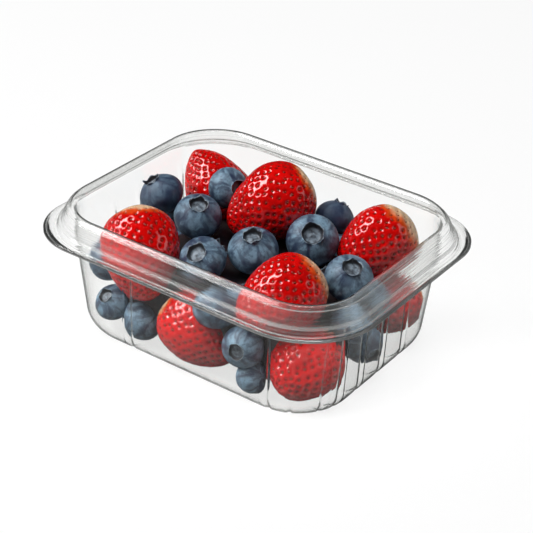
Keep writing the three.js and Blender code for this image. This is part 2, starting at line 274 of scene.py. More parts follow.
# From the middle of the crown to the body: row share, radius, height over the crown's foot,
# and how much of a lobe's height and of its outward lean the ring takes.
CROWN_ROWS = (
    (0.00, 0.000, -0.130, 0.0, 0.0),
    (0.03, 0.030, -0.122, 0.0, 0.0),
    (0.07, 0.075, -0.150, 0.0, 0.0),
    (0.14, 0.265, -0.160, 0.0, 0.0),
    (0.19, 0.345, -0.135, 0.0, 0.0),
    (0.23, 0.372, -0.020, 0.4, 0.3),
    (0.26, 0.385, 0.010, 0.9, 0.9),
    (0.28, 0.395, 0.016, 1.0, 1.0),
    (0.30, 0.404, 0.010, 0.8, 0.8),
    (0.34, 0.413, 0.002, 0.2, 0.1),
    (0.38, 0.423, 0.000, 0.0, 0.0),
)
LOBE_HEIGHT = 0.17
LOBE_LEAN = 0.06
LOBE_TEAR = 0.5  # how uneven a lobe's edge is
TEAR_SCALE = 2.6
LOBE_DRIFT = 0.12  # how far a lobe strays from its place, as a share of the step to the next
LOBE_GROWTH = (0.35, 1.25)
LOBE_OVERLAP = 1.05
OPENING = (0.85, 1.12)  # the crown's width against the usual
OPENING_REACH = 0.62  # how far down the berry that tells, in row share
FLAT_SHIFT = 0.3  # how far a berry moves towards its crown, as a share of what it lost
BERRY_LUMP = 0.02
BERRY_LUMP_SCALE = 1.3
FLOW_LENGTH = 2.4  # how far the bloom's streaks change from the crown down
BERRY_DRAWS = 500  # the first berry's random seed

# Where bands of the crown begin and end, in row share.
CUP_ENDS = (0.16, 0.2)
CROWN_BAND = ((0.15, 0.19), (0.235, 0.265))
LIP_BAND = ((0.24, 0.27), (0.3, 0.33))
BRIM_ENDS = (0.31, 0.46)

# ---- patterns and fixed tones ----

# A cloudy mask: its scale, the cloud's value where it starts and where it is full, and how
# detailed and how stretched the cloud is.
Cloud = namedtuple("Cloud", "scale low high detail stretch", defaults=(3.0, 0.0))
RIPE_PATCHES = Cloud(130, 0.3, 0.75)
RIPENING = Cloud(120, 0.3, 0.8)
FLESH_GRAIN = Cloud(500, 0.35, 0.65)
SEED_FLECKS = Cloud(2500, 0.45, 0.7)
THIN_BLOOM = Cloud(260, 0.3, 0.75, 4)
WORN_BLOOM = Cloud(1.5, 0.41, 0.66, 6, 0.9)
RUBBED_BLOOM = Cloud(170, 0.47, 0.62, 6, 1.2)
BLOOM_SPECKS = Cloud(900, 0.5, 0.68)
CUP_GRAIN = Cloud(700, 0.35, 0.7)
LIP_PALE_PATCHES = Cloud(500, 0.4, 0.6)
LEAF_PATCHES = Cloud(300, 0.35, 0.7)
SHADE_PATCHES = Cloud(90, 0.4, 0.6)
FLOOR_PATCHES = Cloud(3, 0.3, 0.7)
HAZE_AND_REFLECTION_VEIL = Cloud(1, 0.35, 0.65, 2)
FINE_STREAKS = Cloud(1, 0.5, 0.66)

# Fine relief: its scale, strength, depth in metres and detail.
Grain = namedtuple("Grain", "scale strength depth detail", defaults=(2.0,))
SHEET_RIPPLES = Grain(1, 0.7, 0.00012, 3)
RED_SKIN = Grain(900, 0.12, 0.0002)
SEED_RIDGES = Grain(3000, 0.2, 0.0001)
BLUE_SKIN = Grain(1200, 0.15, 0.0002, 3)
LEAF_VEINS = Grain(1500, 0.4, 0.0003)
SHADE_LUMPS = Grain(200, 0.5, 0.001)

# How fast a pattern on the sheet changes along the walls, along the rim and down the rim.
Drawn = namedtuple("Drawn", "wall rim down")
RIPPLE_RUN = Drawn(150, 9, 1.7)
VEIL_RUN = Drawn(16, 16, 0.3)
STREAK_RUN = Drawn(9, 9, 2.4)
ON_RIM = 0.01  # this far past the shoulder's top the sheet counts as rim

# The rim film's opacity: everywhere, in fine streaks, and the least that the veil leaves. Its pale
# tone is partly haze and partly painted reflection.
FILM_OPACITY = 0.02
STREAK_OPACITY = 0.1
LEAST_VEIL = 0.45
FILM_TONE = (0.62, 0.63, 0.62, 1)

# From the leafy end the skin turns from pale to orange, and from orange to red.
TO_ORANGE = (0.05, 0.35)
TO_RED = (0.3, 0.7)
RIPENESS = 1.25
RIPENESS_LOSS = 0.35
DULL_RED = 0.7  # the darker patches' share of the red
PIT_SHARPNESS = 2.2
ORANGE = (0.55, 0.075, 0.01, 1)
FLESH = ((0.83, 0.62, 0.42, 1), (0.75, 0.3, 0.17, 1))
DARK_SEED = (0.12, 0.006, 0.006, 1)
STRAW_SEED = (0.32, 0.08, 0.025, 1)

BLOOM_DIM = 0.5  # thin bloom's share of the full tone
# How much of the bloom each pattern takes off.
WORN_OFF = 0.9
RUBBED_OFF = 0.65
SPECKS_OFF = 0.4
# the skin round the crown's brim made darker, towards bare blue
BRIM_OFF = 0.18
LIP_PALENESS = 0.8  # how pale the patches on the crown's lip get: pale bloom, and a painted highlight on the lobes' edges
BLOOM_ROUGHNESS = 0.58
WORN_GLOSS = -0.2  # what worn bloom adds to that
CUP_TONES = ((0.16, 0.2, 0.24, 1), (0.03, 0.035, 0.045, 1))
# the crown's inner wall: its dark tissue, and painted shade in the cup
CROWN_SHADE_TONE = (0.014, 0.012, 0.014, 1)
LIP_TONE = (0.36, 0.42, 0.46, 1)
YOUNG_LEAF = (0.2, 0.27, 0.05, 1)
SHADE_TONES = ((0.006, 0.005, 0.007, 1), (0.014, 0.003, 0.004, 1))

# ---- floor, sky and lights ----

# The floor and the sky as they are seen, as they light the fruit, and as they are mirrored
# outside and inside the clear sheet.
FLOOR_GLOW = (0.82, 0.82, 0.82, 1)
FLOOR_SEEN = (0.14, 0.14, 0.14, 1)
FLOOR_WORN = 0.99  # the duller patches' share of FLOOR_SEEN
FLOOR_LIGHTING = (0.06, 0.06, 0.06, 1)
FLOOR_MIRRORED = (0.12, 0.12, 0.12, 1)
SKY_SEEN = (0.97, 0.97, 0.97, 1)
SKY_LIGHTING = (0.03, 0.03, 0.03, 1)
SKY_MIRRORED = (0.022, 0.022, 0.023, 1)
MIRRORED_IN_SHEET = (0.29, 0.295, 0.29, 1)
FLOOR_CELLS = 8
SENSOR_WIDTH = 36

# Each light: the way to it from the punnet, how far, its size, its power, and whether it
# lights what it falls on and shows in what mirrors it.
Lamp = namedtuple("Lamp", "name way distance size power lights mirrored")
LAMPS = (
    Lamp("Overhead", (0, 0, 1), 1.3, (0.7, 0.7), 12.0, True, False),
    Lamp("Front", (0.35, -0.9, 0.45), 1.1, (1.0, 0.7), 0.35, True, False),
    Lamp("Key", (-0.47, -0.47, 0.73), 1.0, (0.45, 0.55), 9.0, True, False),
    Lamp("Window", (-0.6, -0.29, 0.745), 0.9, (0.26, 0.62), 5.5, False, True),
    Lamp("Edge", (0.8, 0.36, 0.48), 0.9, (0.3, 0.6), 0.7, False, True),
)


# ---- settings shown in the sidebar ----

def colour_setting(name, description, *default):
    """A colour that a user can change."""
    return bpy.props.FloatVectorProperty(
        name=name, description=description, subtype="COLOR", size=4, default=(*default, 1.0))


def length_setting(name, description, default):
    """A length in metres that a user can change."""
    return bpy.props.FloatProperty(
        name=name, description=description, default=default, unit="LENGTH")


def angle_setting(name, description, degrees):
    """An angle that a user can change."""
    return bpy.props.FloatProperty(
        name=name, description=description, default=math.radians(degrees), subtype="ANGLE")


class TraySettings(bpy.types.PropertyGroup):
    """Sizes and tint of the clear tray."""

    rim_length: length_setting("Rim length", "Over the shoulder of the rim, along X", 0.128)
    rim_width: length_setting("Rim width", "Over the shoulder of the rim, along Y", 0.102)
    sheet: length_setting("Sheet", "Thickness of the formed sheet", 0.0006)
    groove_depth: length_setting("Groove depth", "How far a stiffening groove is pressed in", 0.0008)
    tint: colour_setting("Sheet tint", "Colour of the clear sheet", 0.988, 0.99, 0.984)


class FruitSettings(bpy.types.PropertyGroup):
    """Colours of the fruit."""

    red: colour_setting("Ripe red", "Skin of a ripe strawberry", 0.58, 0.0014, 0.001)
    # painted shade: the colour that darkens the skin down in the seed pits
    pit_shade_red: colour_setting("Deep red", "Skin down in the seed pits", 0.22, 0.001, 0.001)
    pale: colour_setting("Shoulder", "Pale skin round the leaves", 0.62, 0.4, 0.24)
    seed: colour_setting("Seeds", "Colour of the seeds", 0.2, 0.022, 0.009)
    bloom: colour_setting("Bloom", "Dusty bloom on a blueberry", 0.215, 0.345, 0.45)
    blue: colour_setting("Bare blue", "Blueberry skin with its bloom rubbed off", 0.012, 0.02, 0.05)
    leaf: colour_setting("Leaf", "Colour of the leaves", 0.09, 0.2, 0.03)


class StageSettings(bpy.types.PropertyGroup):
    """Floor, lights and camera."""

    floor_size: length_setting("Floor", "Width of the floor", 6.0)
    azimuth: angle_setting("Azimuth", "Where the camera stands round the punnet", 34.3127)
    elevation: angle_setting("Elevation", "How far the camera looks down", 30.7662)
    roll: angle_setting("Roll", "How far the camera leans", 2.6821)
    distance: length_setting("Distance", "From the camera to its target", 0.558768)
    target: bpy.props.FloatVectorProperty(
        name="Target", description="What the camera looks at", subtype="TRANSLATION", size=3,
        default=(0.026266, -0.031525, 0.052856))
    lens: bpy.props.FloatProperty(
        name="Lens", description="Focal length in millimetres", default=106.04)


# ---- shapes as arrays ----

Shape = namedtuple("Shape", "points corners sizes")


def shape_of(bm):
    """The points and faces of a bmesh, as arrays, so that it can be repeated."""
    bm.verts.index_update()
    points = np.array([vert.co[:] for vert in bm.verts])
    corners = np.array([vert.index for face in bm.faces for vert in face.verts], np.int32)
    sizes = np.array([len(face.verts) for face in bm.faces], np.int32)
    bm.free()
    return Shape(points, corners, sizes)


def ball(cuts):
    """A ball of radius 1 with an even grid of faces, from a cube."""
    bm = bmesh.new()
    bmesh.ops.create_cube(bm, size=2)
    bmesh.ops.subdivide_edges(bm, edges=bm.edges[:], cuts=cuts, use_grid_fill=True)
    for vert in bm.verts:
        vert.co = Vector(math.tan(c * math.pi / 4) for c in vert.co).normalized()
    return shape_of(bm)


def banded_ball(columns, rows):
    """A ball of radius 1 with its poles on the Z axis."""
    bm = bmesh.new()
    bmesh.ops.create_uvsphere(bm, u_segments=columns, v_segments=rows, radius=1)
    return shape_of(bm)


def joined_mesh(name, copies):
    """One mesh from (shape, points, values) copies. Values has numbers or rows of three."""
    mesh = bpy.data.meshes.new(name)
    starts = np.cumsum([0] + [len(points) for _, points, _ in copies])
    corners = np.concatenate([shape.corners + start for (shape, _, _), start in zip(copies, starts)])
    sizes = np.concatenate([shape.sizes for shape, _, _ in copies])
    places = np.concatenate([points for _, points, _ in copies]) * MM
    mesh.vertices.add(len(places))
    mesh.vertices.foreach_set("co", places.astype(np.float32).ravel())
    mesh.loops.add(len(corners))
    mesh.loops.foreach_set("vertex_index", corners.astype(np.int32))
    mesh.polygons.add(len(sizes))
    firsts = np.concatenate([[0], np.cumsum(sizes)[:-1]])
    mesh.polygons.foreach_set("loop_start", firsts.astype(np.int32))
    mesh.polygons.foreach_set("use_smooth", np.ones(len(sizes), bool))
    mesh.update(calc_edges=True)
    for key in copies[0][2]:
        numbers = np.concatenate([values[key] for _, _, values in copies]).astype(np.float32)
        if numbers.ndim == 1:
            mesh.attributes.new(key, "FLOAT", "POINT").data.foreach_set("value", numbers)
        else:
            rows = mesh.attributes.new(key, "FLOAT_VECTOR", "POINT")
            rows.data.foreach_set("vector", numbers.ravel())
    return mesh


def mesh_from(name, bm):
    """A smooth mesh in metres from a bmesh in millimetres."""
    bmesh.ops.scale(bm, vec=(MM, MM, MM), verts=bm.verts[:])
    mesh = bpy.data.meshes.new(name)
    bm.to_mesh(mesh)
    bm.free()
    mesh.shade_smooth()
    return mesh


def add_piece(name, mesh, material, replaced=None):
    """Puts a finished mesh into the scene, riding on the punnet's body."""
    piece = bpy.data.objects.new(name, mesh)
    bpy.context.scene.collection.objects.link(piece)
    mesh.materials.append(material)
    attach(piece, BODY)
    if replaced:
        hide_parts(replaced)
    return piece


def smooth_step(low, high, value):
    """0 below low, 1 above high, and smooth between them."""
    share = np.clip((value - low) / (high - low), 0, 1)
    return share * share * (3 - 2 * share)


def skin_over(rings, values=None):
    """A skin over closed rings of points, from a grid wrapped round them.

    Values are one number for each ring, kept on its points as "down".
    """
    columns = len(rings[0])
    bm = bmesh.new()
    bmesh.ops.create_grid(bm, x_segments=columns, y_segments=len(rings) - 1, size=1)
    layer = None if values is None else bm.verts.layers.float.new("down")
    bm.verts.ensure_lookup_table()
    for index, vert in enumerate(bm.verts):
        row, column = divmod(index, columns + 1)
        vert.co = rings[row][column % columns]
        if layer:
            vert[layer] = values[row]
    bmesh.ops.remove_doubles(bm, verts=bm.verts[:], dist=1e-5)
    bmesh.ops.recalc_face_normals(bm, faces=bm.faces[:])
    return bm


# ---- the tray's outline ----

def outline_distance(points, half_x, half_y, radii):
    """How far points lie outside a rounded rectangle whose corners have their own radii."""
    x, y = points[:, 0], points[:, 1]
    quarter = np.where(y >= 0, np.where(x >= 0, 0, 1), np.where(x >= 0, 3, 2))
    radius = np.asarray(radii, float)[quarter]
    past_x = np.abs(x) - (half_x - radius)
    past_y = np.abs(y) - (half_y - radius)
    beyond = np.hypot(np.maximum(past_x, 0), np.maximum(past_y, 0))
    return beyond + np.minimum(np.maximum(past_x, past_y), 0) - radius


def groove_share(place, grooves):
    """How deep a place round the wall lies in a groove, from 0 to 1."""
    nearest = min((abs(place - groove) for groove in grooves), default=GROOVE_HALF)
    return min(max(GROOVE_EDGE * (1 - nearest / GROOVE_HALF), 0), 1)


def spokes(tray):
    """Places round the wall at mid height, the way out at each, and its share of a groove."""
    half_x = tray.rim_length / MM / 2 + SPOKE_OUT
    half_y = tray.rim_width / MM / 2 + SPOKE_OUT
    places, ways, dents = [], [], []
    for quarter in range(4):
        sign_x = 1 if quarter in (0, 3) else -1
        sign_y = 1 if quarter < 2 else -1
        centre = Vector((sign_x * (half_x - SPOKE_RADIUS), sign_y * (half_y - SPOKE_RADIUS)))
        turn = SPOKE_RADIUS * QUARTER_TURN
        ribs = [share * turn for share in CORNER_GROOVES] if quarter % 2 else []
        steps = round(turn / COLUMN_SPACING)
        for step in range(steps):
            angle = (quarter + step / steps) * QUARTER_TURN
            way = Vector((math.cos(angle), math.sin(angle)))
            places.append(centre + SPOKE_RADIUS * way)
            ways.append(way)
            dents.append(groove_share(turn * step / steps, ribs))
        half_side = (half_y if quarter % 2 else half_x) - SPOKE_RADIUS
        ribs = SHORT_GROOVES if quarter % 2 else LONG_GROOVES
        angle = (quarter + 1) * QUARTER_TURN
        way = Vector((math.cos(angle), math.sin(angle)))
        onward = Vector((-way.y, way.x))
        start = centre + SPOKE_RADIUS * way
        steps = round(2 * half_side / COLUMN_SPACING)
        for step in range(steps):
            along = 2 * half_side * step / steps
            places.append(start + along * onward)
            ways.append(way)
            dents.append(groove_share(along - half_side, ribs))
    return np.array(places), np.array(ways), np.array(dents)


def eased_path(path):
    """The stations with each bend turned into an arc."""
    rows = [np.array(station[:-1], float) for station in path]
    eased = [rows[0]]
    for index in range(1, len(rows) - 1):
        before, here, after = rows[index - 1:index + 2]
        bend = path[index].bend
        into = here + (before - here) * bend / np.hypot(*(before - here)[:2])
        out_of = here + (after - here) * bend / np.hypot(*(after - here)[:2])
        steps = FOOT_STEPS if bend > FOOT_HEIGHT / 2 else BEND_STEPS
        for step in range(steps + 1):
            t = step / steps
            shares = np.array([(1 - t) ** 2, 2 * ARC_WEIGHT * t * (1 - t), t * t])
            shares /= shares.sum()
            eased.append(shares @ np.array([into, here, out_of]))
    eased.append(rows[-1])
    filled = [eased[0]]
    for row in eased[1:]:
        steps = math.ceil(np.hypot(*(row - filled[-1])[:2]) / WALL_SPAN)
        filled += [filled[-1] + (row - filled[-1]) * step / steps for step in range(1, steps + 1)]
    return filled


def rings_along(tray, path):
    """A ring of points round the tray for each step of a path."""
    places, ways, dents = spokes(tray)
    depth = tray.groove_depth / MM
    rings = []
    for out, height, radius, tab_radius, groove in path:
        half_x = tray.rim_length / MM / 2 + out
        half_y = tray.rim_width / MM / 2 + out
        reach = np.zeros(len(places))
        for _ in range(SPOKE_ROUNDS):
            ring = places + ways * reach[:, None]
            reach -= outline_distance(ring, half_x, half_y, (tab_radius, radius) * 2)
        ring = places + ways * (reach - depth * groove * dents)[:, None]
        rings.append([(x, y, height) for x, y in ring])
    return rings


def tray_rings(tray):
    """Rings of the sheet's under face from the middle of the floor to the flange's edge.

    With them comes how far each lies past the shoulder's top.
    """
    path = np.array(eased_path(TRAY_PATH))
    rings = rings_along(tray, path)
    edge = np.array(rings[0])
    panel = [[(x * share, y * share, height) for x, y, _ in edge] for share, height in FLOOR_PANEL]
    return panel[::-1] + rings, [0.0] * len(panel) + list(past_rim(path))


def past_rim(path):
    """How far each step of a path lies past the shoulder's top, along the sheet."""
    top = int(np.argmax(path[:, 1]))
    steps = np.hypot(*np.diff(path[:, :2], axis=0).T)
    along = np.concatenate([[0], np.cumsum(steps)])
    return np.maximum(along - along[top], 0)


def rim_path(lift):
    """The path from the shoulder's top over the flange's edge, lifted off the under face."""
    rows = np.array(eased_path(TRAY_PATH))
    along = np.gradient(rows[:, :2], axis=0)
    along /= np.linalg.norm(along, axis=1)[:, None]
    rows[:, 0] -= lift * along[:, 1]
    rows[:, 1] += lift * along[:, 0]
    rows[:, 2:4] -= lift * along[:, 1:]
    edge = np.repeat(rows[-1:], 2, axis=0)
    edge[:, 0] += STREAK_GAP
    edge[:, 2:4] += STREAK_GAP
    edge[1, 1] -= lift
    return np.vstack((rows[int(np.argmax(rows[:, 1])):], edge))


# ---- settling the heap ----

class Loose:
    """A berry on its way into the heap: a middle and the balls that stand for it."""

    def __init__(self, berry, axis, balls):
        self.berry = berry
        self.axis = axis
        self.balls = balls
        self.held = berry.held
        self.middle = Vector(berry.at)


def pointing(heading, lift):
    """The direction with that heading in plan and that lift above the level, in degrees."""
    turn, rise = math.radians(heading), math.radians(lift)
    return Vector((math.cos(rise) * math.cos(turn), math.cos(rise) * math.sin(turn), math.sin(rise)))


def push_apart(one, other):
    """Moves two berries apart by their deepest overlap. A held one leaves it all to the other."""
    if one.held and other.held:
        return
    share = 1 if one.held or other.held else 0.5
    deepest, push = 0, Vector()
    for offset, radius in one.balls:
        for against, reach in other.balls:
            gap = one.middle + offset - other.middle - against
            overlap = radius + reach - SLACK - gap.length
            if overlap > deepest:
                deepest, push = overlap, gap.normalized() * overlap * share
    if not one.held:
        one.middle = one.middle + push
    if not other.held:
        other.middle = other.middle - push


def room_at(tray, height):
    """Half length, half width and corner radius of the room inside the wall at a height."""
    up = min(max((height - FOOT_HEIGHT) / (WALL_TOP - FOOT_HEIGHT), 0), 1)
    out = FOOT_OUT + (WALL_TOP_OUT - FOOT_OUT) * up
    inset = tray.groove_depth / MM + tray.sheet / MM + CLEARANCE
    radius = FOOT_RADIUS + (WALL_TOP_RADIUS - FOOT_RADIUS) * up - inset
    return tray.rim_length / MM / 2 + out - inset, tray.rim_width / MM / 2 + out - inset, radius


def keep_inside(loose, tray):
    """Moves a berry in from the walls and up from the floor."""
    for offset, reach in loose.balls:
        low = tray.sheet / MM + CLEARANCE + reach - (loose.middle.z + offset.z)
        loose.middle.z += max(low, 0)
        centre = loose.middle + offset
        half_x, half_y, radius = room_at(tray, centre.z)
        past_x = abs(centre.x) - (half_x - radius)
        past_y = abs(centre.y) - (half_y - radius)
        sign_x, sign_y = math.copysign(1, centre.x), math.copysign(1, centre.y)
        if past_x > 0 and past_y > 0:
            far = math.hypot(past_x, past_y)
            over = max(far - (radius - reach), 0)
            loose.middle.x -= sign_x * past_x / far * over
            loose.middle.y -= sign_y * past_y / far * over
        else:
            loose.middle.x -= sign_x * max(past_x - radius + reach, 0)
            loose.middle.y -= sign_y * max(past_y - radius + reach, 0)


@functools.lru_cache(maxsize=1)
def settled_heap():
    """All berries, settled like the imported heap's: strawberries first, then blueberries."""
    tray = bpy.context.scene.punnet_tray
    heap = []
    for berry in STRAWBERRIES:
        axis = pointing(berry.heading, berry.lift)
        balls = [(axis * along * berry.length, share * berry.width / 2)
                 for along, share in SETTLE_BALLS]
        heap.append(Loose(berry, axis, balls))
    for berry in BLUEBERRIES:
        heap.append(Loose(berry, pointing(berry.heading, berry.lift), [(Vector(), berry.width / 2)]))
    for _ in range(SETTLE_ROUNDS):
        for index, loose in enumerate(heap):
            for other in heap[:index]:
                push_apart(loose, other)
            if not loose.held:
                keep_inside(loose, tray)
    return heap


def pressed_in(points, tray):
    """Points moved in from the wall and up from the floor, where a berry presses on them."""
    points = points.copy()
    sheet = tray.sheet / MM
    points[:, 2] = np.maximum(points[:, 2], sheet + PRESS_GAP + FLOOR_PANEL[-1][1])
    height = points[:, 2]
    up = np.clip((height - FOOT_HEIGHT) / (WALL_TOP - FOOT_HEIGHT), 0, 1)
    under = np.clip(FOOT_HEIGHT - height, 0, FOOT_HEIGHT)
    out = FOOT_OUT + (WALL_TOP_OUT - FOOT_OUT) * up
    out -= FOOT_HEIGHT - np.sqrt(FOOT_HEIGHT ** 2 - under ** 2)
    inset = sheet + PRESS_GAP + tray.groove_depth / MM
    radius = FOOT_RADIUS + (WALL_TOP_RADIUS - FOOT_RADIUS) * up - inset
    past_x = np.abs(points[:, 0]) - (tray.rim_length / MM / 2 + out - inset - radius)
    past_y = np.abs(points[:, 1]) - (tray.rim_width / MM / 2 + out - inset - radius)
    far = np.hypot(np.maximum(past_x, 0), np.maximum(past_y, 0))
    over = np.maximum(far - radius, 0) / np.maximum(far, 1)
    points[:, 0] -= np.sign(points[:, 0]) * np.maximum(past_x, 0) * over
    points[:, 1] -= np.sign(points[:, 1]) * np.maximum(past_y, 0) * over
    return points


def far_place(draw):
    """A place of a berry's own in the noise."""
    return Vector(draw.uniform(-NOISE_REACH, NOISE_REACH) for _ in range(3))


def turned(axis, spin):
    """A rotation that brings +Z to the axis after a spin about it, for rows of points."""
    quaternion = axis.to_track_quat("Z", "Y")
    return np.array((quaternion.to_matrix() @ Matrix.Rotation(spin, 3, "Z")).transposed())


# ---- strawberries ----

class StrawberryForm:
    """One strawberry's own shape, with its tip along +Z."""

    def __init__(self, loose, draw):
        self.berry = loose.berry
        self.lump_place = far_place(draw)
        self.turn = turned(loose.axis, draw.uniform(0, FULL_TURN))
        self.middle = np.array(loose.middle)
        self.draw = draw
        self.seeds = self.seed_directions()

    def skin(self, directions):
        """Where the skin lies in these directions from the middle, with no pits."""
        along = directions[:, 2]
        girth = np.sqrt(np.maximum(1 - along ** 2, 0)) * (1 - self.berry.taper * along) * PLUMPNESS
        plan = directions[:, :2] / np.maximum(np.hypot(*directions[:, :2].T), 1e-9)[:, None]
        wide = self.berry.width / 2 * girth
        points = np.column_stack((
            plan[:, 0] * wide * (1 + OVAL),
            plan[:, 1] * wide * (1 - OVAL),
            along * self.berry.length / 2,
        ))
        lumps = np.array([
            noise.noise(Vector(direction) * LUMP_SCALE + self.lump_place)
            for direction in directions
        ])
        points *= (1 + LUMP_HEIGHT * lumps)[:, None]
        from_axis = np.hypot(points[:, 0], points[:, 1])
        hull = (1 - smooth_step(0, HULL_REACH, from_axis)) * (along < 0)
        points[:, 2] += HULL_DEPTH * hull
        return points

    def normals(self, directions):
        """The skin's outward directions, from two small steps along it."""
        side = np.cross(directions, NORMAL_SIDE)
        side /= np.linalg.norm(side, axis=1)[:, None]
        other = np.cross(directions, side)
        here = self.skin(directions)
        one = self.skin(self.unit(directions + NORMAL_STEP * side)) - here
        two = self.skin(self.unit(directions + NORMAL_STEP * other)) - here
        return here, self.unit(np.cross(one, two))

    @staticmethod
    def unit(rows):
        """Rows of length 1."""
        return rows / np.linalg.norm(rows, axis=1)[:, None]

    def seed_directions(self):
        """Seeds on a spiral with even cells, a little out of place."""
        area = math.pi * self.berry.length * self.berry.width * SEED_FIELD
        count = round(area / SEED_CELL)
        rows = []
        for index in range(count):
            drift = self.draw.uniform(-SEED_JITTER, SEED_JITTER) / count * SEED_DRIFT
            share = (index + 0.5) / count + drift
            along = SEED_REACH[0] + (SEED_REACH[1] - SEED_REACH[0]) * min(max(share, 0), 1)
            angle = index * GOLDEN_ANGLE + self.draw.uniform(-SEED_JITTER, SEED_JITTER) * SEED_SWING
            girth = math.sqrt(1 - along * along)
            rows.append((girth * math.cos(angle), girth * math.sin(angle), along))
        return np.array(rows)

    def placed(self, points, tray):
        """Points of the upright berry moved to where it lies."""
        return pressed_in(points @ self.turn + self.middle, tray)

    def body(self, shape, tray):
        """Points and per-point values of the pitted skin."""
        directions = shape.points
        skin, normals = self.normals(directions)
        seeds = self.skin(self.seeds)
        tree = KDTree(len(seeds))
        for index, seed in enumerate(seeds):
            tree.insert(seed, index)
        tree.balance()
        near = np.array([tree.find(point)[2] for point in skin])
        pit = 1 - smooth_step(*PIT_REACH, near)
        along = directions[:, 2]
        points = skin - normals * (PIT_DEPTH * pit)[:, None]
        from_axis = np.hypot(skin[:, 0], skin[:, 1])
        flesh, skin_again = (HULL_REACH * share for share in HULL_EDGE)
        values = {
            "ripe": smooth_step(0, self.berry.pale, along + 1),
            "pit": pit,
            "hull": (1 - smooth_step(flesh, skin_again, from_axis)) * (along < 0),
        }
        return self.placed(points, tray), values

    def seed_copies(self, seed_shape, tray):
        """Each seed lying in its pit, pointed towards the tip."""
        skin, normals = self.normals(self.seeds)
        copies = []
        for place, normal in zip(skin, normals):
            normal = Vector(normal)
            onward = (Vector((0, 0, 1)) - normal * normal.z).normalized()
            axes = np.array([normal.cross(onward), normal, onward])
            grown = self.draw.uniform(*SEED_GROWTH)
            points = (seed_shape.points * SEED_SIZE * grown) @ axes
            points += place - np.array(normal) * PIT_DEPTH * SEED_SUNK
            tone = np.full(len(points), self.draw.random())
            copies.append((seed_shape, self.placed(points, tray), {"tone": tone}))
        return copies


def seed_shape():
    """A seed with its point along +Z."""
    shape = banded_ball(6, 6)
    points = shape.points.copy()
    narrowing = 1 - SEED_NARROWING * np.clip(points[:, 2], 0, 1)
    points[:, 0] *= narrowing
    points[:, 1] *= narrowing
    return Shape(points, shape.corners, shape.sizes)


@functools.lru_cache(maxsize=1)
def strawberry_forms():
    """The forms of all strawberries, drawn once, so that every piece agrees on them."""
    return [StrawberryForm(loose, random.Random(FORM_DRAWS + index))
            for index, loose in enumerate(settled_heap()[:len(STRAWBERRIES)])]


def leaf_points(form, grid, heading, length, curl):
    """One leaf's grid laid on the shoulder from the stem outwards."""
    across, onward = grid[:, 0], (grid[:, 1] + 1) / 2
    spread = (1 - onward) ** LEAF_TAPER * (LEAF_STALK + onward) * LEAF_FULLNESS
    from_pole = LEAF_START + onward * length / (form.berry.width / 2)
    sideways = across * spread * LEAF_WIDTH / 2 / (form.berry.width / 2)
    angle = heading + sideways / np.maximum(np.sin(np.clip(from_pole, LEAF_CLEAR, 2)), LEAF_CLEAR)
    directions = np.column_stack((
        np.sin(from_pole) * np.cos(angle), np.sin(from_pole) * np.sin(angle), -np.cos(from_pole),
    ))
    skin, normals = form.normals(directions)
    rise = LEAF_RISE + curl * onward ** LEAF_BEND + LEAF_CUP * np.abs(across) * spread
    return skin + normals * rise[:, None]


# ---- blueberries ----

def crown_profile(rows):
    """Radius, height, lobe height and lobe lean of each ring, by its share of all rows."""
    table = np.array(CROWN_ROWS)
    foot = table[-1, 0]
    angle = CROWN_ANGLE + (math.pi - CROWN_ANGLE) * np.clip((rows - foot) / (1 - foot), 0, 1)
    crown_foot = FLATTENING * math.cos(CROWN_ANGLE)
    inner = rows < foot
    columns = [np.interp(rows, table[:, 0], table[:, column]) for column in range(1, 5)]
    radius = np.where(inner, columns[0], np.sin(angle))
    height = np.where(inner, crown_foot + columns[1], FLATTENING * np.cos(angle))
    return radius, height, columns[2] * inner, columns[3] * inner


def band(rise, fall, value):
    """1 between a rise and a fall, and 0 outside them."""
    return smooth_step(*rise, value) * (1 - smooth_step(*fall, value))


